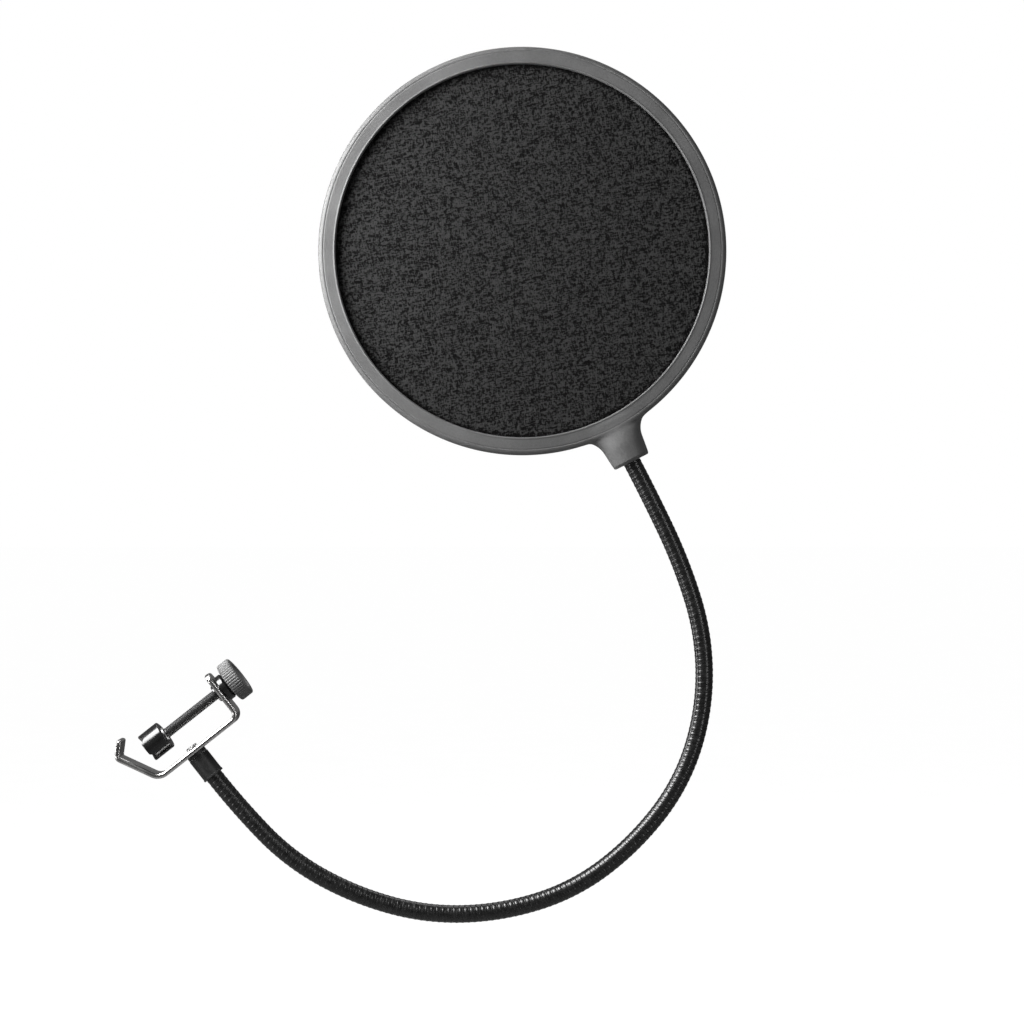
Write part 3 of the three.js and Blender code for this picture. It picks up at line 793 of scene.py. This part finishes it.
# ---------- Gooseneck pieces ----------
def gooseneck_knots():
    """The centreline's knots: the ferrule's mouth, each joint, and the neck's open end, as (x, z)."""
    swivel = joints["clamp_swivel"]
    mouth = np.array(swivel["pos_m"]) / MM + FERRULE_MOUTH_FROM_SWIVEL * np.array(swivel["axis"])
    names = sorted((name for name in joints if name.startswith("neck_")), key=lambda name: int(name[-2:]))
    return [mouth[[0, 2]], *(np.array(joints[name]["pos_m"])[[0, 2]] / MM for name in names), NECK_END], names


KNOTS, BEND_NAMES = gooseneck_knots()


def arcs_through(knots, heading):
    """An arc from each knot to the next, leaving as the last one arrived: (start, heading, turn, length)."""
    arcs = []
    for start, end in zip(knots, knots[1:]):
        chord = end - start
        turn = 2 * (math.atan2(chord[1], chord[0]) - heading)
        turn = (turn + math.pi) % (2 * math.pi) - math.pi
        half = turn / 2
        bow = 1.0 if abs(half) < 1e-6 else half / math.sin(half)
        arcs.append((start, heading, turn, np.linalg.norm(chord) * bow))
        heading += turn
    return arcs


swivel_axis = joints["clamp_swivel"]["axis"]
ARCS = arcs_through(KNOTS, math.atan2(swivel_axis[2], swivel_axis[0]))
ARC_STARTS = np.concatenate([[0], np.cumsum([arc[3] for arc in ARCS])])


def centreline(distance):
    """The place and heading on the centreline, straight on past both of its ends."""
    index = int(np.clip(np.searchsorted(ARC_STARTS, distance, side="right") - 1, 0, len(ARCS) - 1))
    start, heading, turn, length = ARCS[index]
    along = distance - ARC_STARTS[index]
    on_arc = min(max(along, 0), length)
    swing = turn * on_arc / length
    chord = on_arc if abs(swing) < 1e-9 else 2 * math.sin(swing / 2) * length / turn
    place = start + chord * np.array([math.cos(heading + swing / 2), math.sin(heading + swing / 2)])
    heading += swing
    return place + (along - on_arc) * np.array([math.cos(heading), math.sin(heading)]), heading


def winding_radius(distance, angle):
    """The outside of a winding of round wire with a wedge-shaped wire pressed between its turns."""
    phase = (distance / WINDING_PITCH - angle / (2 * math.pi)) % 1
    on_round = np.clip(2 * phase / ROUND_WIRE_SHARE - 1, -1, 1)
    on_wedge = np.clip(2 * (phase - ROUND_WIRE_SHARE) / (1 - ROUND_WIRE_SHARE) - 1, -1, 1)
    round_wire = GOOSENECK_RADIUS - ROUND_WIRE_HEIGHT * (1 - np.sqrt(1 - 0.98 * on_round**2))
    wedge_wire = WEDGE_WIRE_RADIUS - WEDGE_WIRE_HEIGHT * on_wedge**4
    return np.where(phase < ROUND_WIRE_SHARE, round_wire, wedge_wire)


def winding(name, start, end):
    """A stretch of the wound gooseneck between two distances along its centreline."""
    rows = int(round((end - start) / WINDING_PITCH * ROWS_PER_WINDING))
    angles = np.linspace(0, 2 * math.pi, WINDING_SEGMENTS, endpoint=False)
    rings = []
    for distance in np.linspace(start, end, rows + 1):
        place, heading = centreline(distance)
        radius = winding_radius(distance, angles)
        sideways = radius * np.cos(angles)
        x = place[0] + sideways * math.sin(heading)
        z = place[1] - sideways * math.cos(heading)
        rings.append(np.stack([x, radius * np.sin(angles), z], axis=-1))
    faces = grid_faces(rows + 1, len(angles), capped=True)
    return make_piece(name, rings, faces, LOOKS["gooseneck_black"], None, 60)


def build_gooseneck():
    """One piece for each joint, from the middle of one link to the middle of the next, bent at the joint."""
    middles = (ARC_STARTS[:-1] + ARC_STARTS[1:]) / 2
    for index, name in enumerate(BEND_NAMES):
        is_first, is_last = index == 0, index == len(BEND_NAMES) - 1
        start = -GRIP_IN_FERRULE if is_first else middles[index]
        end = ARC_STARTS[-1] + GRIP_IN_NECK if is_last else middles[index + 1]
        piece = winding(f"gooseneck_{index + 1:02d}", start, end)
        knot, heading = centreline(ARC_STARTS[index + 1])
        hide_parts(f"gooseneck_link_{index + 1:02d}")
        if is_last:
            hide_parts(f"gooseneck_link_{index + 2:02d}")
        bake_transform(piece)


# ---------- Clamp pieces ----------
def strip_stations():
    """Points along the strip's mid-line, closer together at its ends and bends, with their distances."""
    radii = [0, *STRIP_BEND_RADII, 0]
    corners = [(*corner, radius) for corner, radius in zip(STRIP_CORNERS, radii)]
    path = rounded(corners, closed=False, steps=14)
    distances = np.concatenate([[0], np.cumsum(np.linalg.norm(np.diff(path, axis=0), axis=1))])
    length = distances[-1]
    near_end = 1 - np.cos(np.linspace(0, math.pi / 2, 9))
    edge = STRIP_EDGE_ROUND * near_end
    arm, hook = ARM_END_ROUND * near_end, HOOK_END_ROUND * near_end
    stations = np.concatenate([distances, edge, length - edge, arm, length - hook])
    stations = np.unique(np.round(stations, 4))
    x, z = np.interp(stations, distances, path[:, 0]), np.interp(stations, distances, path[:, 1])
    return np.stack([x, z], axis=-1), stations, length


def end_inset(distance, radius):
    """How much an end with rounded corners is narrowed, this far from its tip."""
    into = np.clip(radius - distance, 0, radius)
    return radius - np.sqrt(radius**2 - into**2)


def strip_section(half_width, half_thickness):
    """A rounded rectangle, as (across, through) points."""
    edge = min(STRIP_EDGE_ROUND, 0.9 * half_thickness)
    corners = [
        (-half_width, -half_thickness, edge),
        (half_width, -half_thickness, edge),
        (half_width, half_thickness, edge),
        (-half_width, half_thickness, edge),
    ]
    return rounded(corners, steps=4)


def clamp_bracket():
    """The bent strip: a rounded rectangle carried along its mid-line, with the bush and swivel holes."""
    middle, stations, length = strip_stations()
    tangents = np.gradient(middle, stations, axis=0)
    tangents /= np.linalg.norm(tangents, axis=1)[:, None]
    normals = np.stack([-tangents[:, 1], tangents[:, 0]], axis=-1)
    rings = []
    for place, normal, distance in zip(middle, normals, stations):
        inset = end_inset(distance, ARM_END_ROUND) + end_inset(length - distance, HOOK_END_ROUND)
        thinning = end_inset(distance, STRIP_EDGE_ROUND) + end_inset(length - distance, STRIP_EDGE_ROUND)
        section = strip_section(STRIP_WIDTH / 2 - inset, STRIP_THICKNESS / 2 - thinning)
        offset = section[:, 1:] * normal
        rings.append(np.stack([place[0] + offset[:, 0], section[:, 0], place[1] + offset[:, 1]], axis=-1))
    faces = grid_faces(len(rings), len(rings[0]), capped=True)
    bracket = make_piece("bracket", rings, faces, LOOKS["plated_steel"], CLAMP_TURN)
    arm_x, back_z = STRIP_CORNERS[0][0], STRIP_CORNERS[1][1]
    cut(bracket, rod("bush_hole", BUSH_HOLE_RADIUS, arm_x, about_screw))
    cut(bracket, rod("swivel_hole", SWIVEL_HOLE_RADIUS, back_z, about_swivel))
    return soften(bracket)


def rod(name, radius, middle, about):
    """A cutter for a hole through the strip."""
    low, high = middle - STRIP_THICKNESS, middle + STRIP_THICKNESS
    profile = [(0, low, 0), (radius, low, 0), (radius, high, 0), (0, high, 0)]
    return turned(name, profile, about, LOOKS["plated_steel"])


def thread_bush():
    """The collar: a flange inside the arm, a barrel through it and a tapered head outside it."""
    low, high = clamp_extent("thread_bush")
    reach = STRIP_THICKNESS / 2 + STRIP_CLEARANCE
    arm_inside, arm_outside = STRIP_CORNERS[0][0] - reach, STRIP_CORNERS[0][0] + reach
    return soften(turned("thread_bush_collar", [
        (BUSH_BORE_RADIUS, low[0], 0.15),
        (BUSH_FLANGE_RADIUS, low[0], 0.3),
        (BUSH_FLANGE_RADIUS, arm_inside, 0.05),
        (BUSH_BARREL_RADIUS, arm_inside, 0.05),
        (BUSH_BARREL_RADIUS, arm_outside, 0.05),
        (high[2], arm_outside, 0.25),
        (high[2], high[0] - BUSH_END_LENGTH, 0.4),
        (BUSH_END_RADIUS, high[0], 0.3),
        (BUSH_BORE_RADIUS, high[0], 0.15),
    ], about_screw, LOOKS["gloss_black"]))


def clamp_screw():
    """The threaded rod, with the groove near its tip that the retainer sits in."""
    low, high = clamp_extent("clamp_screw")
    groove_start, groove_end, groove_radius = SCREW_GROOVE
    rows = int((high[0] - low[0]) / THREAD_PITCH * ROWS_PER_THREAD)
    places = np.linspace(low[0], high[0], rows)[:, None]
    angles = np.linspace(0, 2 * math.pi, 32, endpoint=False)[None, :]
    phase = (places / THREAD_PITCH - angles / (2 * math.pi)) % 1
    crest = np.clip(1.25 - 2.5 * np.abs(phase - 0.5), 0, 1)
    cut_in = smooth_step(places, groove_end, groove_end + THREAD_PITCH)
    radius = SCREW_RADIUS - THREAD_DEPTH * cut_in * (1 - crest)
    in_groove = (places > groove_start) & (places < groove_end)
    radius = np.where(in_groove, groove_radius, radius)
    rings = about_screw(radius, places, angles)
    faces = grid_faces(rows, angles.shape[1], capped=True)
    return make_piece("screw_thread", rings, faces, LOOKS["black_steel"], CLAMP_TURN, 60)


def knob():
    """The ridged knob: a dished face, rounded edges, and a blind hole for the screw."""
    low, high = clamp_extent("knob")
    radius, inside, outside = high[2], low[0], high[0]
    profile = rounded([
        (0, outside - KNOB_DISH_DEPTH, 0),
        (KNOB_DISH_RADIUS, outside - KNOB_DISH_DEPTH, 0.3),
        (KNOB_DISH_RADIUS + KNOB_SLOPE, outside, 0.3),
        (radius, outside, 0.75),
        (radius, inside, 0.75),
        (KNOB_RECESS_RADIUS, inside, 0.2),
        (KNOB_RECESS_RADIUS, inside + KNOB_RECESS_DEPTH, 0.1),
        (KNOB_SOCKET_RADIUS, inside + KNOB_RECESS_DEPTH, 0.1),
        (KNOB_SOCKET_RADIUS, outside - KNOB_SOCKET_WALL, 0),
        (0, outside - KNOB_SOCKET_WALL, 0),
    ])
    angles = np.linspace(0, 2 * math.pi, KNOB_RIDGES * KNOB_RIDGE_STEPS, endpoint=False)
    valley = 1 - np.abs(np.sin(angles * KNOB_RIDGES / 2)) ** 0.8
    on_band = smooth_step(profile[:, :1], radius - KNOB_BAND_START, radius - KNOB_BAND_END)
    radii = profile[:, :1] - KNOB_RIDGE_DEPTH * on_band * valley[None, :]
    rings = about_screw(radii, profile[:, 1:], angles[None, :])
    faces = grid_faces(len(profile), len(angles), wrap_rows=True)
    return soften(make_piece("knob_grip", rings, faces, LOOKS["grey_plastic"], CLAMP_TURN, 50))


def pad_groove(face, half_length, slant):
    """A cutter for a V groove across the pad's face, slanting at 45 degrees to one side or the other."""
    along = np.array([1, slant]) / math.sqrt(2)
    across = np.array([slant, -1]) / math.sqrt(2)
    opening = 2 * PAD_GROOVE_DEPTH
    section = [(PAD_GROOVE_DEPTH, 0), (-PAD_GROOVE_DEPTH, -opening), (-PAD_GROOVE_DEPTH, opening)]
    corners = []
    for end in (-half_length, half_length):
        for depth, sideways in section:
            y, z = end * along + sideways * across
            corners.append((face + depth, y, z))
    return make_piece("groove", corners, grid_faces(2, 3, capped=True), LOOKS["gloss_black"], CLAMP_TURN)


def pad():
    """The pad: a turned cup with two crossed V grooves in its face."""
    low, high = clamp_extent("pad")
    face, back, radius = low[0], high[0], high[2]
    seat, bore_end = back - PAD_SEAT_DEPTH, face + PAD_FACE_THICKNESS
    piece = turned("pad_cup", [
        (0, face, 0),
        (radius, face, 0),
        (radius, back, 0.5),
        (PAD_SEAT_RADIUS, back, 0.2),
        (PAD_SEAT_RADIUS, seat, 0.1),
        (PAD_BORE_RADIUS, seat, 0.1),
        (PAD_BORE_RADIUS, bore_end, 0),
        (0, bore_end, 0),
    ], about_screw, LOOKS["gloss_black"], 64)
    for slant in (1, -1):
        cut(piece, pad_groove(face, 2 * radius, slant))
    return soften(piece, bevel=PAD_EDGE_BEVEL)


def pad_retainer():
    low, high = clamp_extent("pad_retainer")
    return soften(turned("retainer_ring", [
        (RETAINER_BORE_RADIUS, low[0], 0.15),
        (high[2], low[0], 0.25),
        (high[2], high[0], 0.35),
        (RETAINER_BORE_RADIUS, high[0], 0.15),
    ], about_screw, LOOKS["bare_steel"]))


def swivel_screw():
    """The slotted screw that the ferrule turns on."""
    low, high = clamp_extent("swivel_screw")
    top, radius = high[2], high[1]
    head = top - SWIVEL_HEAD_HEIGHT
    piece = turned("swivel_screw_head", [
        (0, low[2], 0),
        (SWIVEL_SHANK_RADIUS, low[2], 0.3),
        (SWIVEL_SHANK_RADIUS, head, 0.05),
        (radius, head, 0.1),
        (radius, top, 0.4),
        (0, top, 0),
    ], about_swivel, LOOKS["bare_steel"])
    corners = []
    for y in (-2 * radius, 2 * radius):
        for side, height in ((-1, -1), (1, -1), (1, 1), (-1, 1)):
            corners.append((SWIVEL_PLACE[0] + side * SLOT_HALF_WIDTH, y, top + height * SLOT_DEPTH))
    slot = make_piece("slot", corners, grid_faces(2, 4, capped=True), LOOKS["bare_steel"], CLAMP_TURN)
    return soften(cut(piece, slot))


def swivel_washer():
    """The washer, squeezed between the strip and the ferrule."""
    low, high = clamp_extent("swivel_washer")
    lower_face, upper_face = low[2] - SQUEEZE, high[2] + SQUEEZE
    return soften(turned("swivel_washer_ring", [
        (SWIVEL_HOLE_RADIUS, lower_face, 0.05),
        (high[1], lower_face, 0.05),
        (high[1], upper_face, 0.05),
        (SWIVEL_HOLE_RADIUS, upper_face, 0.05),
    ], about_swivel, LOOKS["black_steel"]))


def clamp_ferrule():
    """The smooth sleeve on the gooseneck's end, with a rolled lip at its mouth."""
    low, high = clamp_extent("clamp_ferrule")
    mouth, top = low[2], high[2]
    lip_end, floor = mouth + FERRULE_LIP_HEIGHT, top - FERRULE_TOP_THICKNESS
    return soften(turned("ferrule_sleeve", [
        (SLEEVE_RADIUS, mouth, 0.15),
        (FERRULE_LIP_RADIUS, mouth, 0.25),
        (FERRULE_LIP_RADIUS, lip_end, 0.05),
        (FERRULE_RADIUS, lip_end, 0.05),
        (FERRULE_RADIUS, top, 0.25),
        (SWIVEL_HOLE_RADIUS, top, 0.1),
        (SWIVEL_HOLE_RADIUS, floor, 0.1),
        (SLEEVE_RADIUS, floor, 0.1),
    ], about_swivel, LOOKS["black_steel"]))


def build_clamp():
    place_on(clamp_bracket(), "clamp", "plated_steel", "clamp_bracket")
    place_on(thread_bush(), "clamp", "gloss_black", "thread_bush")
    place_on(clamp_screw(), "screw", "black_steel", "clamp_screw")
    place_on(knob(), "screw", "grey_plastic", "knob")
    place_on(pad(), "pad", "gloss_black", "pad")
    place_on(pad_retainer(), "pad", "bare_steel", "pad_retainer")
    place_on(swivel_screw(), "ferrule", "bare_steel", "swivel_screw")
    place_on(swivel_washer(), "ferrule", "black_steel", "swivel_washer")
    place_on(clamp_ferrule(), "ferrule", "black_steel", "clamp_ferrule")


def finish_hidden_nodes():
    """The two CAD nodes that stay as they are, inside the hoop and the neck."""
    for node, slot in (("spacer_ring", "black_plastic"), ("neck_insert", "bare_steel")):
        mesh = frame["nodes"][node].data
        mesh.materials.clear()
        mesh.materials.append(LOOKS[slot])


scene.view_settings.view_transform = "Standard"
add_camera()
add_floor()
light_the_room()
build_hoop()
build_gooseneck()
build_clamp()
finish_hidden_nodes()
